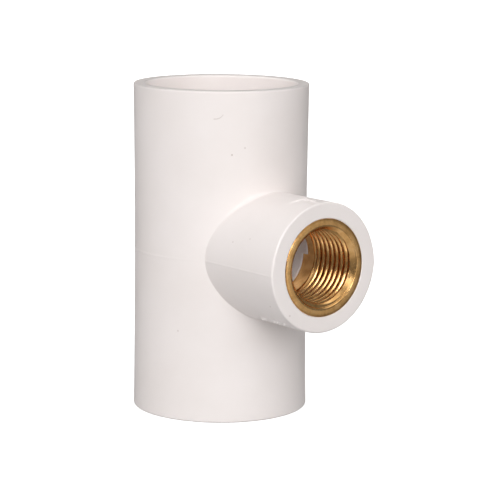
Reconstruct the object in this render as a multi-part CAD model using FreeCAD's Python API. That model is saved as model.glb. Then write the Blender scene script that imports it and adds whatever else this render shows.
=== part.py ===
import FreeCAD, Part

# Reducing tee for pressure pipe: an injection-moulded PVC body with two solvent-weld sockets on one straight
# run, and a turned brass insert with a female G 1/2 thread moulded into its branch.
# Millimetres. The origin is where the run's axis, along Z, meets the branch's axis, along +X.

import math
import os

from FreeCAD import Vector

X_AXIS = Vector(1, 0, 0)
Z_AXIS = Vector(0, 0, 1)
CENTRE = Vector(0, 0, 0)

# Run: a straight tube that widens a little towards its ends, with a socket for 40 mm pipe in each
RUN_HALF_LENGTH = 43.85
RUN_WAIST_RADIUS = 23.15
RUN_WAIST_HALF_LENGTH = 20.0
RUN_END_RADIUS = 23.5
RUN_EDGE_ROUND = 0.45
SOCKET_RADIUS = 20.1
SOCKET_DEPTH = 26.0
SOCKET_CHAMFER = 0.5
WATERWAY_RADIUS = 18.0

# Branch: a parallel boss with a flat face
BRANCH_LENGTH = 43.6
BRANCH_RADIUS = 16.95
BRANCH_EDGE_ROUND = 0.5
BRANCH_START = 6.0
JUNCTION_FILLET = 0.35
PORT_RADIUS = 8.85

# Brass insert, flush with the face, where a fine V groove runs round its collar
INSERT_LENGTH = 19.8
INSERT_POCKET_CHAMFER = 0.25
COLLAR_CHAMFER = 0.2
COLLAR_RADIUS = 12.74
COLLAR_LENGTH = 2.6
NECK_RADIUS = 12.0
NECK_LENGTH = 1.2
KNURL_ROOT_RADIUS = 12.9
KNURL_CREST_RADIUS = 13.6
KNURL_LENGTH = 5.4
KNURL_TEETH = 36
KNURL_BANDS = 2
INSERT_CHAMFER = 0.3

# Thread: G 1/2, which has 14 turns to the inch and 55 degree flanks, cut with flat roots in an 18.8 mm bore
THREAD_PITCH = 25.4 / 14
THREAD_MAJOR_RADIUS = 20.955 / 2
THREAD_FLANK = math.radians(27.5)
THREAD_ROOT_FLAT = THREAD_PITCH / 6
THREAD_DEPTH_ALONG_BORE = 15.6
BORE_RADIUS = 9.4
COUNTERSINK_RADIUS = 10.8
CUTTER_OVERLAP = 0.25

INSERT_FRONT = BRANCH_LENGTH
INSERT_BACK = INSERT_FRONT - INSERT_LENGTH


def revolved(edges, axis):
    """The solid that a closed outline makes when it is turned once about an axis through the origin."""
    return Part.Face(Part.Wire(edges)).revolve(CENTRE, axis, 360)


def polygon_edges(points):
    """Straight edges through the points, and back to the first one."""
    return [Part.LineSegment(a, b).toShape() for a, b in zip(points, points[1:] + points[:1])]


def along_x(pairs):
    """Outline points from (distance along X, radius) pairs."""
    return [Vector(x, 0, radius) for x, radius in pairs]


def along_z(pairs):
    """Outline points from (radius, height) pairs, on the side away from the branch, where the seam does no harm."""
    return [Vector(-radius, 0, z) for radius, z in pairs]


def run_blank():
    """The run before it is bored: a rod with a parallel waist, ends that widen a little, and rounded rims."""
    end, radius, edge = RUN_HALF_LENGTH, RUN_END_RADIUS, RUN_EDGE_ROUND
    corner = edge * (1 - math.sqrt(0.5))
    bottom, low_rim, low_bend, low_side, low_waist = along_z([
        (0, -end),
        (radius - edge, -end),
        (radius - corner, corner - end),
        (radius, edge - end),
        (RUN_WAIST_RADIUS, -RUN_WAIST_HALF_LENGTH),
    ])
    top_waist, top_side, top_bend, top_rim, top = along_z([
        (RUN_WAIST_RADIUS, RUN_WAIST_HALF_LENGTH),
        (radius, end - edge),
        (radius - corner, end - corner),
        (radius - edge, end),
        (0, end),
    ])
    outline = [
        Part.LineSegment(bottom, low_rim).toShape(),
        Part.Arc(low_rim, low_bend, low_side).toShape(),
        Part.LineSegment(low_side, low_waist).toShape(),
        Part.LineSegment(low_waist, top_waist).toShape(),
        Part.LineSegment(top_waist, top_side).toShape(),
        Part.Arc(top_side, top_bend, top_rim).toShape(),
        Part.LineSegment(top_rim, top).toShape(),
        Part.LineSegment(top, bottom).toShape(),
    ]
    return revolved(outline, Z_AXIS)


def branch_blank():
    """The boss before it is bored: a rod with a rounded outer edge at its face."""
    edge = BRANCH_EDGE_ROUND
    corner = edge * (1 - math.sqrt(0.5))
    start, side, rim = along_x([
        (BRANCH_START, BRANCH_RADIUS),
        (BRANCH_LENGTH - edge, BRANCH_RADIUS),
        (BRANCH_LENGTH, BRANCH_RADIUS - edge),
    ])
    bend = Vector(BRANCH_LENGTH - corner, 0, BRANCH_RADIUS - corner)
    back, front = Vector(BRANCH_START, 0, 0), Vector(BRANCH_LENGTH, 0, 0)
    outline = [
        Part.LineSegment(back, start).toShape(),
        Part.LineSegment(start, side).toShape(),
        Part.Arc(side, bend, rim).toShape(),
        Part.LineSegment(rim, front).toShape(),
        Part.LineSegment(front, back).toShape(),
    ]
    return revolved(outline, X_AXIS)


def junction_edges(solid):
    """The edges where the boss's side meets the run's side."""
    near = 0.05
    found = []
    for edge in solid.Edges:
        middle = edge.valueAt((edge.FirstParameter + edge.LastParameter) / 2)
        on_run = abs(math.hypot(middle.x, middle.y) - RUN_WAIST_RADIUS) < near
        on_branch = abs(math.hypot(middle.y, middle.z) - BRANCH_RADIUS) < near
        if on_run and on_branch:
            found.append(edge)
    return found


def run_bore():
    """What is cut out of the run: two sockets with chamfered mouths, and the waterway between their stops."""
    end, stop = RUN_HALF_LENGTH, RUN_HALF_LENGTH - SOCKET_DEPTH
    wide = SOCKET_RADIUS + SOCKET_CHAMFER
    half = [
        (WATERWAY_RADIUS, stop),
        (SOCKET_RADIUS, stop),
        (SOCKET_RADIUS, end - SOCKET_CHAMFER),
        (wide, end),
        (wide, end + 1),
        (0, end + 1),
    ]
    lower = [(radius, -z) for radius, z in reversed(half)]
    return revolved(polygon_edges(along_z(half + lower)), Z_AXIS)


def knurl_band(start):
    """A straight-knurled band of the insert: a toothed ring's outline, drawn out along X."""
    points = []
    for step in range(2 * KNURL_TEETH):
        radius = KNURL_ROOT_RADIUS if step % 2 else KNURL_CREST_RADIUS
        angle = math.pi * step / KNURL_TEETH
        points.append(Vector(start, radius * math.cos(angle), radius * math.sin(angle)))
    return Part.Face(Part.Wire(polygon_edges(points))).extrude(X_AXIS * KNURL_LENGTH)


def insert_blank():
    """The insert's outside: a round front collar, then knurled bands with a plain neck before each one."""
    tail = INSERT_BACK + INSERT_CHAMFER
    collar = INSERT_FRONT - COLLAR_LENGTH
    core = revolved(polygon_edges(along_x([
        (INSERT_BACK, 0),
        (INSERT_BACK, NECK_RADIUS - INSERT_CHAMFER),
        (tail, NECK_RADIUS),
        (collar, NECK_RADIUS),
        (collar, COLLAR_RADIUS),
        (INSERT_FRONT - COLLAR_CHAMFER, COLLAR_RADIUS),
        (INSERT_FRONT, COLLAR_RADIUS - COLLAR_CHAMFER),
        (INSERT_FRONT, 0),
    ])), X_AXIS)
    bands = []
    for band in range(KNURL_BANDS):
        front = collar - NECK_LENGTH - band * (KNURL_LENGTH + NECK_LENGTH)
        bands.append(knurl_band(front - KNURL_LENGTH))
    return core.fuse(bands).removeSplitter()


def insert_bore():
    """The hole through the insert: a plain bore with a countersunk mouth. Its two halves stay separate faces, so
    that no crest face of the thread goes all the way round."""
    sink = COUNTERSINK_RADIUS - BORE_RADIUS
    outline = Part.Face(Part.Wire(polygon_edges(along_x([
        (INSERT_BACK - 1, 0),
        (INSERT_BACK - 1, BORE_RADIUS),
        (INSERT_FRONT - sink, BORE_RADIUS),
        (INSERT_FRONT, COUNTERSINK_RADIUS),
        (INSERT_FRONT + 1, COUNTERSINK_RADIUS),
        (INSERT_FRONT + 1, 0),
    ]))))
    near_half = outline.revolve(CENTRE, X_AXIS, 180)
    far_half = near_half.copy()
    far_half.rotate(CENTRE, X_AXIS, 180)
    return near_half.fuse(far_half)


def thread_groove():
    """The right-hand helical groove of the thread, from just outside the mouth to the end of the full thread."""
    inner = BORE_RADIUS - CUTTER_OVERLAP
    half_root = THREAD_ROOT_FLAT / 2
    half_mouth = half_root + (THREAD_MAJOR_RADIUS - inner) * math.tan(THREAD_FLANK)
    section = Part.Wire(polygon_edges([
        Vector(inner, 0, -half_mouth),
        Vector(inner, 0, half_mouth),
        Vector(THREAD_MAJOR_RADIUS, 0, half_root),
        Vector(THREAD_MAJOR_RADIUS, 0, -half_root),
    ]))
    length = THREAD_DEPTH_ALONG_BORE + THREAD_PITCH
    path = Part.Wire(Part.makeLongHelix(THREAD_PITCH, length, BORE_RADIUS).Edges)
    groove = path.makePipeShell([section], True, True)
    groove.rotate(CENTRE, Vector(0, 1, 0), 90)
    groove.translate(X_AXIS * (INSERT_FRONT - THREAD_DEPTH_ALONG_BORE))
    return groove


def insert_seat():
    """What the insert leaves in the body: its own outside, with a chamfered mouth at the face."""
    edge = INSERT_POCKET_CHAMFER
    mouth = revolved(polygon_edges(along_x([
        (BRANCH_LENGTH - edge, 0),
        (BRANCH_LENGTH - edge, COLLAR_RADIUS),
        (BRANCH_LENGTH, COLLAR_RADIUS + edge),
        (BRANCH_LENGTH + 1, COLLAR_RADIUS + edge),
        (BRANCH_LENGTH + 1, 0),
    ])), X_AXIS)
    return insert_blank().fuse(mouth)


def tee_body():
    """The moulded PVC body."""
    blank = run_blank().fuse(branch_blank()).removeSplitter()
    blank = blank.makeFillet(JUNCTION_FILLET, junction_edges(blank))
    port = Part.makeCylinder(PORT_RADIUS, BRANCH_LENGTH, CENTRE, X_AXIS)
    return blank.cut(run_bore()).cut(port).cut(insert_seat())


def threaded_insert():
    """The brass insert with its thread."""
    return insert_blank().cut(insert_bore()).cut(thread_groove())


def main():
    os.makedirs("parts", exist_ok=True)
    pieces = {"tee_body": tee_body(), "threaded_insert": threaded_insert()}
    for name, shape in pieces.items():
        print(name, "solids", len(shape.Solids), "valid", shape.isValid(), "mm3", round(shape.Volume, 1))
        shape.Solids[0].exportStep(f"parts/{name}.step")


main()
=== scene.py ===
# Looks for a reducing pipe tee: a white PVC body with two plain sockets and, in its branch, a brass insert
# with an internal thread. Shapes are worked out in millimetres in the part's own frame: the run's axis is Z
# and the branch's axis is +X. Phi is the angle round the run, from +X towards +Y, and theta is the angle
# round the branch, from +Y towards +Z. The finished meshes are in metres.

import math

import bmesh
import bpy
import numpy as np
from mathutils import Matrix, Vector


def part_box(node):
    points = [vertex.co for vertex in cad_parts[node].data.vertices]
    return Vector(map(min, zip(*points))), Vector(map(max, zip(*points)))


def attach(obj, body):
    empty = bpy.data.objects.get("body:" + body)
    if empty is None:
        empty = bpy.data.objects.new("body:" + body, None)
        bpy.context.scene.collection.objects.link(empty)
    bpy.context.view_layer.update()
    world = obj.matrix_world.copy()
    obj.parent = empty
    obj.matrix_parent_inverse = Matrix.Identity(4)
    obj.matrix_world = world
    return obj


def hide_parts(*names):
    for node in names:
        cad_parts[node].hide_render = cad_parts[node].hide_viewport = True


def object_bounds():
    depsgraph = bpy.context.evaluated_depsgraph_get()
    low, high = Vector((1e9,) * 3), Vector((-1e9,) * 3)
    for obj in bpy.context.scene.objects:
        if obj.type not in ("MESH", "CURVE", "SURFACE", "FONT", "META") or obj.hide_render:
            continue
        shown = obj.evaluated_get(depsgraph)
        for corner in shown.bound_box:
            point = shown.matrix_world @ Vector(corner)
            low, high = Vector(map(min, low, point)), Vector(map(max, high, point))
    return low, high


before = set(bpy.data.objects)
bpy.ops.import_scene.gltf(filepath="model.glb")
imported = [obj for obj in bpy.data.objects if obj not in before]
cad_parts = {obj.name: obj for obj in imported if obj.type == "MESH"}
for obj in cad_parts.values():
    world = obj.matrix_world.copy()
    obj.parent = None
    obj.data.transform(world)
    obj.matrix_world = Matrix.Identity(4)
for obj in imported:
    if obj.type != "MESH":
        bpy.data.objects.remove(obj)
cad_low, cad_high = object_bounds()
insert_low, insert_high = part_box("threaded_insert")

MM = 0.001


def in_mm(length):
    """A length of the frame in millimetres, to the nearest hundredth."""
    return round(length / MM, 2)


# Run
RUN_END = in_mm(cad_high.z)
RUN_END_RADIUS = in_mm(-cad_low.x)
RUN_WAIST = 23.15
RUN_FLARE = RUN_END_RADIUS - RUN_WAIST
RIM_ROUND = 0.45
SOCKET = 20.1
SOCKET_MOUTH = 20.6
SOCKET_STOP = 17.85
WATERWAY = 18.0

# Branch. Its fillet is wider on the upper side, towards -Y.
FACE = in_mm(cad_high.x)
BRANCH = 16.95
FACE_ROUND = 0.5
SIDE_END = FACE - FACE_ROUND
FILLET = 0.35
TOP_FILLET = 1.2
PORT = 8.85

# Traces of the moulding. The halves of the mould met a little below mid height. CREASE_REACH is an angle
# round the branch, in radians.
SEAM_DROP = 0.5
PARTING_LINE = 0.07
FAINT_PARTING_LINE = 0.005
PARTING_LINE_WIDTH = 0.22
CREASE = 0.22
CREASE_REACH = 0.55
CREASE_LINE = 0.06
CREASE_LINE_WIDTH = 0.17

# A fin of flash on top of the branch starts with a piece that runs crosswise. A row of nibs is below, each
# (place along the branch, half length).
FIN_ANGLE = math.radians(95.4)
FIN_START = 36.8
FIN = 0.5
CROSS_FIN = 0.38
FIN_WIDTH = 0.3
NIB_ANGLE = math.radians(236)
NIB = 0.65
NIB_WIDTH = 0.32
NIBS = ((31.2, 1.2), (35.6, 0.5), (36.8, 0.33), (37.8, 0.33), (39.6, 0.5))

# Insert's seat in the branch, and the step behind the insert, which is deeper in its upper half
SEAT = 12.74
SEAT_BACK = 41.0
SEAT_ROUND = 0.3
POCKET = 13.65
POCKET_GAP = 0.02
LIP = 9.36
LIP_LOW = 23.86
LIP_HIGH = 25.9

# Insert
INSERT_FRONT = in_mm(insert_high.x)
INSERT_BACK = in_mm(insert_low.x)
COLLAR = 12.725
NECK = 12.0
NECK_LENGTH = 1.2
KNURL_ROOT = 12.9
KNURL_CREST = 13.6
KNURL_LENGTH = 5.4
KNURL_TEETH = 36
KNURL_BANDS = 2
BORE = 9.4
COUNTERSINK = 10.8
THREAD_MAJOR = 20.955 / 2
THREAD_PITCH = 25.4 / 14
THREAD_FLANK = math.tan(math.radians(27.5))
THREAD_END = INSERT_FRONT - 15.6
BURR = 0.06

# Meshes. The branch grows from a patch of the run, and the port opens in a smaller patch of the waterway's
# wall. Each patch's border has as many nodes as a circle round the branch: eight times HALF_SIDE.
HALF_SIDE = 60
RING_NODES = 8 * HALF_SIDE
PATCH_ANGLE = math.radians(75)
PATCH_HEIGHT = 26.0
INNER_PATCH_HEIGHT = 16.0
INNER_ACROSS = 2 * HALF_SIDE // 3
INNER_ALONG = 2 * HALF_SIDE - INNER_ACROSS

# Looks
PVC_WHITE = (0.80, 0.745, 0.725)
DARKER_WHITE = (0.785, 0.728, 0.705)
BRIGHTER_WHITE = (0.815, 0.76, 0.742)
# Painted shade on the flat rims at both ends of the run: the dark colour mixed in, and its share
RIM_SHADE_COLOUR = (0.40, 0.365, 0.35)
RIM_SHADE_SHARE = 0.5
DIRT = (0.22, 0.13, 0.09)
BRASS = (0.79, 0.455, 0.175)
STAINED_BRASS = (0.62, 0.34, 0.12)
BRIGHT_BRASS = (0.85, 0.52, 0.225)


# ---------------------------------------------------------------- small helpers

def graded(count):
    """Positions from -1 to 1, count steps each side of the middle, much closer together near the middle."""
    steps = np.minimum(0.12 + 0.08 * np.arange(count), 1.0)
    half = np.concatenate([[0.0], np.cumsum(steps)]) / steps.sum()
    return np.concatenate([-half[:0:-1], half])


def bell(value, width):
    """A smooth bump of height 1 at value 0."""
    return np.exp(-(value / width) ** 2)


def smoothstep(low, high, value):
    """0 below low, 1 above high, and a smooth rise between them."""
    t = np.clip((value - low) / (high - low), 0.0, 1.0)
    return t * t * (3 - 2 * t)


def shares(count):
    """Even steps from 0 to 1, as a column."""
    return np.linspace(0, 1, count)[:, None]


def turned_about_z(radius, phi, z):
    return np.stack(np.broadcast_arrays(radius * np.cos(phi), radius * np.sin(phi), z), axis=-1)


def turned_about_x(x, radius, theta):
    return np.stack(np.broadcast_arrays(x, radius * np.cos(theta), radius * np.sin(theta)), axis=-1)


def closed_round(grid):
    """The same grid with its first column repeated as its last."""
    return np.concatenate([grid, grid[:, :1]], axis=1)


def mesh_from_grids(name, grids, sharp):
    """One closed object from grids of points in millimetres, welded where they meet."""
    bm = bmesh.new()
    for grid in grids:
        rows, columns = grid.shape[:2]
        verts = [bm.verts.new(point) for point in grid.reshape(-1, 3)]
        for i in range(rows - 1):
            for j in range(columns - 1):
                a = i * columns + j
                bm.faces.new((verts[a], verts[a + 1], verts[a + columns + 1], verts[a + columns]))
    bmesh.ops.remove_doubles(bm, verts=bm.verts[:], dist=0.0008)
    bmesh.ops.dissolve_degenerate(bm, edges=bm.edges[:], dist=0.0002)
    bmesh.ops.recalc_face_normals(bm, faces=bm.faces[:])
    mesh = bpy.data.meshes.new(name)
    bm.to_mesh(mesh)
    open_edges = sum(1 for edge in bm.edges if len(edge.link_faces) != 2)
    print(name, "faces", len(bm.faces), "edges without two faces", open_edges)
    bm.free()
    mesh.transform(Matrix.Scale(MM, 4))
    mesh.shade_smooth()
    mesh.set_sharp_from_angle(angle=math.radians(sharp))
    piece = bpy.data.objects.new(name, mesh)
    bpy.context.scene.collection.objects.link(piece)
    return piece


# ---------------------------------------------------------------- body

# Columns round the run: crowded near the branch's axis on the patch, and even behind it
NEAR_PHI = PATCH_ANGLE * graded(HALF_SIDE)
FAR_PHI = np.linspace(PATCH_ANGLE, 2 * math.pi - PATCH_ANGLE, 85)
ALL_PHI = np.concatenate([NEAR_PHI, FAR_PHI[1:]])


def run_radius(z):
    return RUN_WAIST + RUN_FLARE * (z / RUN_END) ** 2


def run_relief(phi, z):
    """How far the run's skin stands proud: the mould's parting line, which fades out towards the branch."""
    away = smoothstep(math.radians(50), math.radians(85), np.abs(phi))
    height = FAINT_PARTING_LINE + (PARTING_LINE - FAINT_PARTING_LINE) * away
    return height * bell(z + SEAM_DROP, PARTING_LINE_WIDTH)


def side_crease(theta):
    """A soft crease along each side of the branch, with a fine line on it."""
    off = np.abs(np.arctan2(np.sin(theta) + SEAM_DROP / BRANCH, np.abs(np.cos(theta))))
    soft = CREASE * np.clip(1 - off / CREASE_REACH, 0, None) ** 2
    return soft + CREASE_LINE * bell(off * BRANCH, CREASE_LINE_WIDTH)


def flash(x, theta):
    """The ragged fin along the top of the branch, and the piece that runs crosswise from its start."""
    across = (theta - FIN_ANGLE) * BRANCH
    ragged = 0.75 + 0.2 * np.sin(4.1 * x + 1.0) + 0.15 * np.sin(9.7 * x)
    reach = smoothstep(FIN_START - 0.4, FIN_START + 0.4, x) * (1 - 0.7 * smoothstep(40.5, 43.0, x))
    along_top = FIN * ragged * reach * bell(across - 0.15 * np.sin(3.0 * x), FIN_WIDTH)
    fading = smoothstep(-0.3, 0.3, across) * (1 - smoothstep(1.0, 5.0, across))
    bent = 0.3 * across + 0.2 * np.sin(2.5 * across)
    over_top = CROSS_FIN * fading * bell(x - FIN_START + bent, FIN_WIDTH)
    return np.maximum(along_top, over_top)


def branch_relief(x, theta):
    """How far the branch's skin stands proud."""
    nibs = sum(bell(x - along, length) for along, length in NIBS)
    nibs = NIB * nibs * bell((theta - NIB_ANGLE) * BRANCH, NIB_WIDTH)
    return side_crease(theta) + flash(x, theta) + nibs


def ring_nodes():
    """The nodes round the branch: their theta, and their phi and z on the border of the run's patch."""
    q = graded(HALF_SIDE)[:-1]
    flat = np.ones_like(q)
    theta = [math.radians(90) * side + math.radians(45) * q for side in range(4)]
    phi = PATCH_ANGLE * np.concatenate([flat, -q, -flat, q])
    z = PATCH_HEIGHT * np.concatenate([q, flat, -q, -flat])
    return np.concatenate(theta), phi, z


def inner_nodes():
    """The same nodes' phi and z on the border of the waterway's patch, whose top and bottom have fewer of
    them than its sides."""
    columns = NEAR_PHI[HALF_SIDE:]
    half_ring = RING_NODES // 2
    quarter = RING_NODES // 4
    phi, z = [], []
    for n in range(RING_NODES):
        j = (n - HALF_SIDE + half_ring) % RING_NODES - half_ring
        if abs(j) <= INNER_ALONG:
            phi.append(columns[INNER_ACROSS])
            z.append(INNER_PATCH_HEIGHT * j / INNER_ALONG)
        elif abs(j - quarter) <= INNER_ACROSS:
            phi.append(-np.sign(j - quarter) * columns[abs(j - quarter)])
            z.append(INNER_PATCH_HEIGHT)
        elif abs(j + quarter) <= INNER_ACROSS:
            phi.append(np.sign(j + quarter) * columns[abs(j + quarter)])
            z.append(-INNER_PATCH_HEIGHT)
        else:
            phi.append(-columns[INNER_ACROSS])
            far = half_ring - abs(j)
            z.append(INNER_PATCH_HEIGHT * far / INNER_ALONG * (1 if j > 0 else -1))
    return np.array(phi), np.array(z)


def skin_run(phi, z):
    return turned_about_z(run_radius(z) + run_relief(phi, z), phi, z)


def run_outside():
    """The run's skin: above the branch's patch, below it, and behind it."""
    far = np.linspace(PATCH_HEIGHT, RUN_END - RIM_ROUND, 26)[:, None]
    near = PATCH_HEIGHT * graded(HALF_SIDE)[:, None]
    wrapped = np.where(FAR_PHI > math.pi, FAR_PHI - 2 * math.pi, FAR_PHI)
    behind = turned_about_z(run_radius(near) + run_relief(wrapped, near), FAR_PHI, near)
    return [skin_run(ALL_PHI, far), skin_run(ALL_PHI, -far[::-1]), behind]


def run_ends():
    """Rims, sockets and pipe stops, from one outline that is turned round the axis at each end."""
    start = run_radius(RUN_END - RIM_ROUND) - RIM_ROUND
    rim = [(start + RIM_ROUND * math.cos(a), RUN_END - RIM_ROUND * (1 - math.sin(a)))
           for a in np.linspace(0, math.pi / 2, 7)]
    flat = [(radius, RUN_END) for radius in (22.6, 22.0, 21.4, 20.8)]
    mouth = [
        (SOCKET_MOUTH + 0.06, RUN_END),
        (SOCKET_MOUTH, RUN_END - 0.02),
        (SOCKET_MOUTH - 0.06, RUN_END - 0.07),
        (SOCKET + 0.05, RUN_END - 0.44),
        (SOCKET + 0.012, RUN_END - 0.52),
        (SOCKET, RUN_END - 0.62),
    ]
    wall = [(SOCKET, z) for z in np.linspace(RUN_END - 1.4, SOCKET_STOP + 0.5, 24)]
    stop = [
        (SOCKET - 0.02, SOCKET_STOP + 0.22),
        (SOCKET - 0.07, SOCKET_STOP + 0.07),
        (SOCKET - 0.2, SOCKET_STOP),
        (19.4, SOCKET_STOP),
        (18.8, SOCKET_STOP),
        (18.25, SOCKET_STOP),
        (WATERWAY + 0.1, SOCKET_STOP - 0.03),
        (WATERWAY + 0.03, SOCKET_STOP - 0.1),
    ]
    bore = [(WATERWAY, z) for z in (SOCKET_STOP - 0.25, 17.2, 16.6, INNER_PATCH_HEIGHT)]
    outline = np.array(rim + flat + mouth + wall + stop + bore)
    radius, z = outline[:, :1], outline[:, 1:]
    return [turned_about_z(radius, ALL_PHI, up * z) for up in (1, -1)]


def waterway_wall():
    """The waterway, but for its patch round the port."""
    half = NEAR_PHI[HALF_SIDE:]
    on_side = half[INNER_ACROSS:]
    phi = np.concatenate([on_side, FAR_PHI[1:], 2 * math.pi - on_side[::-1][1:]])
    z = np.linspace(-INNER_PATCH_HEIGHT, INNER_PATCH_HEIGHT, 2 * INNER_ALONG + 1)[:, None]
    return turned_about_z(WATERWAY, phi, z)


def junction_grids(theta, patch_phi, patch_z):
    """The run's patch round the branch, the fillet, and the branch's side. The fillet is the track of a
    ball that rolls round the junction."""
    degrees = np.degrees(theta)
    wide = smoothstep(92, 112, degrees) * (1 - smoothstep(122, 160, degrees))
    fillet = FILLET + (TOP_FILLET - FILLET) * wide
    y_ball = (BRANCH + fillet) * np.cos(theta)
    z_ball = (BRANCH + fillet) * np.sin(theta)
    x_ball = np.sqrt((run_radius(z_ball) + fillet) ** 2 - y_ball ** 2)
    foot_phi = np.arctan2(y_ball, x_ball)

    share = shares(17) ** 1.25
    patch = skin_run(foot_phi + (patch_phi - foot_phi) * share, z_ball + (patch_z - z_ball) * share)

    # Seen from the ball's centre, the fillet turns from where the ball touches the run to where it touches
    # the branch
    centre = np.stack([x_ball, y_ball, z_ball], axis=-1)
    to_run = np.stack([-np.cos(foot_phi), -np.sin(foot_phi), 0 * theta], axis=-1)
    to_branch = np.stack([0 * theta, -np.cos(theta), -np.sin(theta)], axis=-1)
    opening = np.arccos(np.clip((to_run * to_branch).sum(axis=-1), -1, 1))[:, None]
    strips = []
    for t in np.linspace(0, 1, 9):
        arm = (np.sin((1 - t) * opening) * to_run + np.sin(t * opening) * to_branch) / np.sin(opening)
        blend = smoothstep(0, 1, t)
        lift_run = (1 - blend) * run_relief(foot_phi, z_ball)[:, None] * to_run
        lift_branch = blend * branch_relief(x_ball, theta)[:, None] * to_branch
        strips.append(centre + fillet[:, None] * arm - lift_run - lift_branch)

    x = x_ball + (SIDE_END - x_ball) * shares(150)
    side = turned_about_x(x, BRANCH + branch_relief(x, theta), theta)
    return [patch, np.stack(strips), side]


def branch_front(theta):
    """The branch's face, the insert's seat, and the step and the edge of the port behind it."""
    rim = BRANCH + branch_relief(np.full_like(theta, SIDE_END), theta) - FACE_ROUND
    rows = []
    for a in np.linspace(0, math.pi / 2, 7):
        rows.append((SIDE_END + FACE_ROUND * math.sin(a), rim + FACE_ROUND * math.cos(a)))
    inner = SEAT + SEAT_ROUND
    rows += [(FACE, inner + (rim - inner) * share) for share in (0.8, 0.6, 0.4, 0.2, 0.05)]
    for a in np.linspace(0, math.pi / 2, 6):
        rows.append((FACE - SEAT_ROUND * (1 - math.cos(a)), inner - SEAT_ROUND * math.sin(a)))
    rows += [(FACE - 0.45, SEAT), (42.2, SEAT), (SEAT_BACK, SEAT), (SEAT_BACK, POCKET)]
    pocket_end = INSERT_BACK - POCKET_GAP
    rows += [(x, POCKET) for x in (36.0, 31.0, 27.0, pocket_end)]
    rows += [(pocket_end, radius) for radius in (12.0, 10.5, LIP)]
    lip = step_depth(theta)
    rows += [(lip - 0.06, LIP), (lip, LIP - 0.05)]
    rows += [(lip, PORT + 0.08), (lip - 0.03, PORT + 0.02), (lip - 0.1, PORT)]
    return np.stack([turned_about_x(x, radius, theta) for x, radius in rows])


def step_depth(theta):
    """How far from the run's axis the step behind the insert stands."""
    return np.where(np.sin(theta) > 1e-6, LIP_HIGH, LIP_LOW)


def port_grids(theta):
    """The port's wall, and the waterway's patch round the port."""
    start = step_depth(theta) - 0.1
    end = np.sqrt(WATERWAY ** 2 - (PORT * np.cos(theta)) ** 2)
    wall = turned_about_x(start + (end - start) * shares(16), PORT, theta)
    patch_phi, patch_z = inner_nodes()
    hole_phi = np.arcsin(PORT * np.cos(theta) / WATERWAY)
    hole_z = PORT * np.sin(theta)
    phi = hole_phi + (patch_phi - hole_phi) * shares(13)
    z = hole_z + (patch_z - hole_z) * shares(13)
    return [wall, turned_about_z(WATERWAY, phi, z)]


def body_grids():
    theta, patch_phi, patch_z = ring_nodes()
    round_branch = junction_grids(theta, patch_phi, patch_z) + [branch_front(theta)] + port_grids(theta)
    return run_outside() + run_ends() + [waterway_wall()] + [closed_round(grid) for grid in round_branch]


# ---------------------------------------------------------------- insert

def thread_profile():
    """Rounded thread section: distance along the axis from the middle of a groove, and the radius there."""
    d = np.linspace(-THREAD_PITCH / 2, THREAD_PITCH / 2, 721)
    half_flat = THREAD_PITCH / 12
    radius = np.clip(THREAD_MAJOR - (np.abs(d) - half_flat) / THREAD_FLANK, BORE, THREAD_MAJOR)
    wrap = 180
    kernel = bell(np.linspace(-3, 3, wrap + 1), 1.0)
    padded = np.concatenate([radius[-wrap - 1:-1], radius, radius[1:wrap + 1]])
    return d, np.convolve(padded, kernel / kernel.sum(), mode="same")[wrap:-wrap]


def insert_hole(theta):
    """The threaded hole from front to back, with a countersunk mouth and a slight burr on its edge."""
    front = INSERT_FRONT - np.array([0.0, 0.03, 0.1])
    threaded = np.arange(INSERT_FRONT - 0.18, THREAD_END - 0.6, -0.08)
    plain = np.arange(THREAD_END - 0.9, INSERT_BACK + 0.35, -0.5)
    x = np.concatenate([front, threaded, plain, [INSERT_BACK + 0.2, INSERT_BACK]])[:, None]
    turns = (x / THREAD_PITCH - theta / (2 * math.pi) + 0.5) % 1.0 - 0.5
    d, profile = thread_profile()
    cut = np.interp(turns * THREAD_PITCH, d, profile) - BORE
    cut = cut * smoothstep(THREAD_END - 0.4, THREAD_END + 1.6, x)
    cone = BORE + np.clip(x - (INSERT_FRONT - (COUNTERSINK - BORE)), 0, None)
    radius = np.maximum(cone, BORE + cut) + BURR * bell(x - INSERT_FRONT, 0.05)
    return turned_about_x(x, radius, theta), radius


def insert_grids():
    theta = np.linspace(0, 2 * math.pi, 289)
    hole, hole_radius = insert_hole(theta)
    teeth = 0.5 + 0.5 * np.cos(KNURL_TEETH * theta)
    knurl = KNURL_ROOT + (KNURL_CREST - KNURL_ROOT) * teeth
    knurl_end = 0.3 * NECK + 0.7 * knurl
    rows = [
        (INSERT_FRONT, hole_radius[0]),
        (INSERT_FRONT, 11.2),
        (INSERT_FRONT, 11.8),
        (INSERT_FRONT, COLLAR - 0.16),
        (INSERT_FRONT - 0.015, COLLAR - 0.1),
        (INSERT_FRONT - 0.1, COLLAR - 0.015),
        (INSERT_FRONT - 0.16, COLLAR),
        (41.4, COLLAR),
        (SEAT_BACK + 0.04, COLLAR),
        (SEAT_BACK, COLLAR - 0.04),
        (SEAT_BACK, NECK),
    ]
    for band in range(KNURL_BANDS):
        front = SEAT_BACK - NECK_LENGTH - band * (KNURL_LENGTH + NECK_LENGTH)
        back = front - KNURL_LENGTH
        rows += [(front, NECK), (front, knurl_end), (front - 0.25, knurl)]
        rows += [(back + 0.25, knurl), (back, knurl_end), (back, NECK)]
    rows += [(INSERT_BACK + 0.3, NECK), (INSERT_BACK, NECK - 0.3), (INSERT_BACK, 10.6)]
    rows += [(INSERT_BACK, hole_radius[-1])]
    return [hole, np.stack([turned_about_x(x, radius, theta) for x, radius in rows])]


# ---------------------------------------------------------------- materials

def shader(name):
    material = bpy.data.materials.new(name)
    material.use_nodes = True
    nodes = material.node_tree.nodes
    return material, nodes, material.node_tree.links, nodes["Principled BSDF"]


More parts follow.
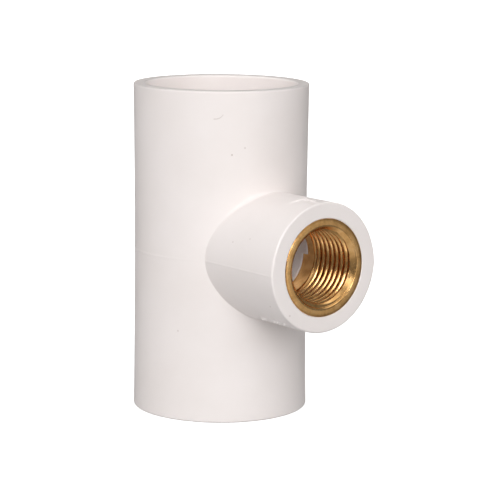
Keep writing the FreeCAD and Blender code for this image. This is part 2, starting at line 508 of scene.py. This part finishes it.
def noise(nodes, links, where, size, detail):
    """A noise texture whose blotches are about size millimetres across."""
    texture = nodes.new("ShaderNodeTexNoise")
    texture.inputs["Scale"].default_value = 1 / (size * MM)
    texture.inputs["Detail"].default_value = detail
    links.new(where.outputs["Object"], texture.inputs["Vector"])
    return texture.outputs["Fac"]


def ranged(nodes, links, source, low, high, source_low=0.3, source_high=0.7):
    """The source's range from source_low to source_high, spread from low to high."""
    spread = nodes.new("ShaderNodeMapRange")
    spread.inputs["From Min"].default_value = source_low
    spread.inputs["From Max"].default_value = source_high
    spread.inputs["To Min"].default_value = low
    spread.inputs["To Max"].default_value = high
    links.new(source, spread.inputs["Value"])
    return spread.outputs["Result"]


def tinted(nodes, links, source, stops):
    """Colours for the source's values, from (value, colour) stops."""
    ramp = nodes.new("ShaderNodeValToRGB")
    elements = ramp.color_ramp.elements
    for element, (value, colour) in ((elements[0], stops[0]), (elements[1], stops[-1])):
        element.position = value
        element.color = (*colour, 1)
    for value, colour in stops[1:-1]:
        elements.new(value).color = (*colour, 1)
    links.new(source, ramp.inputs["Fac"])
    return ramp.outputs["Color"]


def mixed(nodes, links, share, colour, other):
    """The colour with a share of another one in it."""
    mix = nodes.new("ShaderNodeMix")
    mix.data_type = "RGBA"
    links.new(share, mix.inputs["Factor"])
    links.new(colour, mix.inputs["A"])
    mix.inputs["B"].default_value = (*other, 1)
    return mix.outputs["Result"]


def bumped(nodes, links, source, strength, distance, before=None):
    """A bump from the source, of distance millimetres, on top of the one before."""
    bump = nodes.new("ShaderNodeBump")
    bump.inputs["Strength"].default_value = strength
    bump.inputs["Distance"].default_value = distance * MM
    links.new(source, bump.inputs["Height"])
    if before is not None:
        links.new(before, bump.inputs["Normal"])
    return bump.outputs["Normal"]


def on_run(phi, z):
    """A point on the run's skin, phi in degrees."""
    a, r = math.radians(phi), run_radius(z)
    return r * math.cos(a), r * math.sin(a), z


def on_branch(x, theta):
    """A point on the branch's skin, theta in degrees."""
    a = math.radians(theta)
    return x, BRANCH * math.cos(a), BRANCH * math.sin(a)


def painted_rim_shade(nodes, links, where, colour):
    """The colour, made a good deal darker by painted shade on the flat rims at both ends of the run."""
    place = nodes.new("ShaderNodeSeparateXYZ")
    links.new(where.outputs["Object"], place.inputs["Vector"])
    height = nodes.new("ShaderNodeMath")
    height.operation = "ABSOLUTE"
    links.new(place.outputs["Z"], height.inputs[0])
    skin, rim = (RUN_END - 0.3) * MM, (RUN_END - 0.05) * MM
    share = ranged(nodes, links, height.outputs["Value"], 0, RIM_SHADE_SHARE, skin, rim)
    return mixed(nodes, links, share, colour, RIM_SHADE_COLOUR)


def specks(nodes, links, where, colour, places):
    """The colour with small dark specks of dirt in it, each (point in millimetres, radius, darkness)."""
    for point, radius, darkness in places:
        reach = nodes.new("ShaderNodeVectorMath")
        reach.operation = "DISTANCE"
        reach.inputs[1].default_value = Vector(point) * MM
        links.new(where.outputs["Object"], reach.inputs[0])
        core, edge = 0.3 * radius * MM, radius * MM
        share = ranged(nodes, links, reach.outputs["Value"], darkness, 0, core, edge)
        colour = mixed(nodes, links, share, colour, DIRT)
    return colour


def scratch():
    """A short curved scratch high on the run, as a row of faint specks."""
    return [(on_run(-42.1 + 5.7 * t, 36.66 + 1.05 * t ** 3), 0.2, 0.22) for t in np.linspace(0, 1, 15)]


def pvc_material():
    """White PVC: faint clouds in its colour, painted shade on the run's flat rims, dirt, an uneven gloss,
    orange peel and a fine grain.
    """
    material, nodes, links, out = shader("white_pvc")
    out.inputs["Base Color"].default_value = (*PVC_WHITE, 1)
    out.inputs["Roughness"].default_value = 0.42
    out.inputs["IOR"].default_value = 1.53
    where = nodes.new("ShaderNodeTexCoord")

    cloud = noise(nodes, links, where, 16, 3)
    colour = tinted(nodes, links, cloud, [(0.3, DARKER_WHITE), (0.7, BRIGHTER_WHITE)])
    # Painted shade: the flat rims at both ends of the run are darkened to stand in for the shade they get
    colour = painted_rim_shade(nodes, links, where, colour)
    colour = specks(nodes, links, where, colour, [
        (on_run(-30.5, 27.35), 0.32, 0.5),
        (on_run(-22.1, 29.1), 0.3, 0.35),
        (on_run(-65.9, -19.7), 0.3, 0.35),
        (on_branch(26.0, 159.8), 0.28, 0.35),
        (on_branch(32.2, 154.0), 0.28, 0.3),
        ((FACE, -11.2, -11.1), 0.3, 0.4),
        (on_branch(39.6, 212), 0.3, 0.4),
        *scratch(),
    ])
    links.new(colour, out.inputs["Base Color"])

    smear = noise(nodes, links, where, 6, 4)
    links.new(ranged(nodes, links, smear, 0.37, 0.48), out.inputs["Roughness"])

    peel = bumped(nodes, links, noise(nodes, links, where, 2.2, 2), 0.25, 0.03)
    grain = noise(nodes, links, where, 0.35, 3)
    links.new(bumped(nodes, links, grain, 0.15, 0.03, peel), out.inputs["Normal"])
    return material


def brass_material():
    """Bare brass: stains, worn and duller spots, and the marks that the turning tool left."""
    material, nodes, links, out = shader("turned_brass")
    out.inputs["Base Color"].default_value = (*BRASS, 1)
    out.inputs["Metallic"].default_value = 1.0
    out.inputs["Roughness"].default_value = 0.24
    where = nodes.new("ShaderNodeTexCoord")

    stain = noise(nodes, links, where, 2.5, 5)
    colour = tinted(nodes, links, stain, [(0.32, STAINED_BRASS), (0.5, BRASS), (0.68, BRIGHT_BRASS)])
    links.new(colour, out.inputs["Base Color"])
    worn = noise(nodes, links, where, 0.9, 4)
    links.new(ranged(nodes, links, worn, 0.15, 0.27), out.inputs["Roughness"])

    # Fine rings round the axis on flat faces, and fine bands along it in the bore
    surface = bumped(nodes, links, noise(nodes, links, where, 1.2, 3), 0.3, 0.04)
    for kind, direction, pitch in (("RINGS", "rings_direction", 0.14), ("BANDS", "bands_direction", 0.11)):
        marks = nodes.new("ShaderNodeTexWave")
        marks.wave_type = kind
        setattr(marks, direction, "X")
        marks.inputs["Scale"].default_value = math.pi / (10 * pitch * MM)
        marks.inputs["Distortion"].default_value = 1.5
        marks.inputs["Detail"].default_value = 2
        links.new(where.outputs["Object"], marks.inputs["Vector"])
        surface = bumped(nodes, links, marks.outputs["Fac"], 0.2, 0.006, surface)
    links.new(surface, out.inputs["Normal"])
    return material


# ---------------------------------------------------------------- pieces

body = mesh_from_grids("tee_shell", body_grids(), 32)
body.data.materials.append(pvc_material())
insert = mesh_from_grids("brass_insert", insert_grids(), 38)
insert.data.materials.append(brass_material())
for piece, node, slot in ((body, "tee_body", "pvc"), (insert, "threaded_insert", "brass")):
    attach(piece, "root")
    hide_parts(node)


# ---------------------------------------------------------------- camera

def towards(bearing, height):
    """A direction by its bearing, from -Y towards +X, and its height above the horizon, both in degrees."""
    a, e = math.radians(bearing), math.radians(height)
    return Vector((math.sin(a) * math.cos(e), -math.cos(a) * math.cos(e), math.sin(e)))


def add_camera(bearing, height, roll, distance, right_by, down_by, lens):
    """A camera that looks at the origin, then moved right and down by so many millimetres."""
    data = bpy.data.cameras.new("camera")
    data.sensor_width = 36
    data.lens = lens
    data.clip_end = 20
    camera = bpy.data.objects.new("camera", data)
    bpy.context.scene.collection.objects.link(camera)
    back = towards(bearing, height)
    level = Vector((0, 0, 1)).cross(back).normalized()
    upright = back.cross(level)
    turn = math.radians(roll)
    right = math.cos(turn) * level + math.sin(turn) * upright
    up = math.cos(turn) * upright - math.sin(turn) * level
    spot = (back * distance + right * right_by - up * down_by) * MM
    camera.matrix_world = Matrix((
        (right.x, up.x, back.x, spot.x),
        (right.y, up.y, back.y, spot.y),
        (right.z, up.z, back.z, spot.z),
        (0, 0, 0, 1),
    ))
    bpy.context.scene.camera = camera


add_camera(bearing=51.74, height=10.16, roll=0.49, distance=580.4, right_by=7.98, down_by=1.67, lens=154.37)


# ---------------------------------------------------------------- light and surroundings

LIGHT_DISTANCE = 1.5
FLOOR_RADIUS = 3.9
MIRRORED_RADIUS = 3.95
BACKDROP_RADIUS = 4.0

# Soft boxes: name, bearing and height in degrees, size in metres, strength
SOFT_BOXES = (
    ("front_box", 50, 12, 1.0, 3.25),
    ("high_box", 50, 38, 1.0, 1.75),
    ("left_box", 5, 15, 1.0, 0.1),
    ("low_far_left_box", -60, 30, 1.0, 0.5),
    ("far_left_box", -50, 60, 1.0, 0.57),
    ("far_right_box", 145, 60, 1.0, 0.135),
    ("back_box", 232, 4, 0.6, 6.0),
)

# The world's own light, as (height, brightness), where height goes from 0 straight down to 1 straight up
SKY_STRENGTH = 1.6
SKY = (
    (0, 0.42),
    (0.24, 0.42),
    (0.26, 0),
    (0.615, 0),
    (0.635, 1),
    (0.74, 1),
    (0.76, 0.61),
    (0.89, 0.61),
    (0.91, 0),
    (1, 0),
)

# What shiny surfaces mirror is a dim room with soft boxes: bearing, height, full reach and faded reach in
# degrees, strength
MIRRORED_DIM = 0.17
MIRRORED_BOXES = (
    (84, 13, 6, 14, 8.5),
    (29, 32, 11, 20, 4.0),
    (110, 80, 15, 40, 1.2),
    (75, 30, 10, 25, 0.5),
    (120, -9, 4, 12, 0.8),
    (-45, 56, 4, 9, 5.0),
    (88, -29, 5, 12, 1.3),
    (17, -64, 30, 60, 0.45),
)


def add_soft_box(name, bearing, height, size, strength):
    """A square soft box that points at the part and isn't mirrored in it."""
    data = bpy.data.lights.new(name, "AREA")
    data.shape = "SQUARE"
    data.size = size
    data.energy = strength * math.pi * size * size
    lamp = bpy.data.objects.new(name, data)
    bpy.context.scene.collection.objects.link(lamp)
    direction = towards(bearing, height)
    lamp.location = direction * LIGHT_DISTANCE
    lamp.rotation_euler = direction.to_track_quat("Z", "Y").to_euler()
    lamp.visible_glossy = False


def add_sky():
    """The world's light, in level bands."""
    world = bpy.data.worlds.new("studio")
    bpy.context.scene.world = world
    world.use_nodes = True
    world.cycles_visibility.glossy = False
    nodes, links = world.node_tree.nodes, world.node_tree.links
    direction = nodes.new("ShaderNodeTexCoord")
    split = nodes.new("ShaderNodeSeparateXYZ")
    links.new(direction.outputs["Generated"], split.inputs["Vector"])
    height = ranged(nodes, links, split.outputs["Z"], 0, 1, -1, 1)
    bands = tinted(nodes, links, height, [(place, (value,) * 3) for place, value in SKY])
    links.new(bands, nodes["Background"].inputs["Color"])
    nodes["Background"].inputs["Strength"].default_value = SKY_STRENGTH


def pale_floor():
    """A round pale floor under the part. It takes no part in the light that falls on the part."""
    mesh = bpy.data.meshes.new("floor")
    disc = bmesh.new()
    bmesh.ops.create_circle(disc, cap_ends=True, segments=96, radius=FLOOR_RADIUS)
    disc.to_mesh(mesh)
    disc.free()
    floor = bpy.data.objects.new("floor", mesh)
    floor.location.z = cad_low.z
    bpy.context.scene.collection.objects.link(floor)
    floor.visible_glossy = False
    floor.visible_diffuse = False
    floor.visible_shadow = False
    paint, _, _, out = shader("pale_floor")
    out.inputs["Base Color"].default_value = (0.9, 0.9, 0.9, 1)
    out.inputs["Roughness"].default_value = 1.0
    out.inputs["Specular IOR Level"].default_value = 0.0
    out.inputs["Emission Color"].default_value = (1, 1, 1, 1)
    out.inputs["Emission Strength"].default_value = 0.5
    mesh.materials.append(paint)
    return floor


def dome(name, radius, seen_by, paint):
    """A sphere round the scene that only one kind of ray meets."""
    mesh = bpy.data.meshes.new(name)
    ball = bmesh.new()
    bmesh.ops.create_uvsphere(ball, u_segments=64, v_segments=32, radius=radius)
    ball.to_mesh(mesh)
    ball.free()
    mesh.materials.append(paint)
    sphere = bpy.data.objects.new(name, mesh)
    bpy.context.scene.collection.objects.link(sphere)
    for ray in ("camera", "diffuse", "glossy", "transmission", "volume_scatter", "shadow"):
        setattr(sphere, "visible_" + ray, ray == seen_by)
    return sphere


def glowing(name):
    """A paint that gives off white light and reflects none."""
    paint, nodes, links, out = shader(name)
    out.inputs["Base Color"].default_value = (0, 0, 0, 1)
    out.inputs["Emission Color"].default_value = (1, 1, 1, 1)
    return paint, nodes, links, out


def white_backdrop():
    paint, _, _, out = glowing("white_backdrop")
    out.inputs["Emission Strength"].default_value = 1.05
    return dome("backdrop", BACKDROP_RADIUS, "camera", paint)


def mirrored_room():
    paint, nodes, links, out = glowing("reflected_studio")
    where = nodes.new("ShaderNodeTexCoord")
    unit = nodes.new("ShaderNodeVectorMath")
    unit.operation = "NORMALIZE"
    links.new(where.outputs["Object"], unit.inputs[0])
    total = nodes.new("ShaderNodeValue").outputs[0]
    total.default_value = MIRRORED_DIM
    for bearing, height, full, faded, strength in MIRRORED_BOXES:
        aim = nodes.new("ShaderNodeVectorMath")
        aim.operation = "DOT_PRODUCT"
        links.new(unit.outputs["Vector"], aim.inputs[0])
        aim.inputs[1].default_value = towards(bearing, height)
        glow = nodes.new("ShaderNodeMapRange")
        glow.interpolation_type = "SMOOTHSTEP"
        glow.inputs["From Min"].default_value = math.cos(math.radians(faded))
        glow.inputs["From Max"].default_value = math.cos(math.radians(full))
        glow.inputs["To Max"].default_value = strength
        links.new(aim.outputs["Value"], glow.inputs["Value"])
        add = nodes.new("ShaderNodeMath")
        links.new(total, add.inputs[0])
        links.new(glow.outputs["Result"], add.inputs[1])
        total = add.outputs[0]
    links.new(total, out.inputs["Emission Strength"])
    return dome("mirrored_room", MIRRORED_RADIUS, "glossy", paint)


for soft_box in SOFT_BOXES:
    add_soft_box(*soft_box)
add_sky()
pale_floor()
white_backdrop()
mirrored_room()

bpy.context.scene.view_settings.view_transform = "Standard"
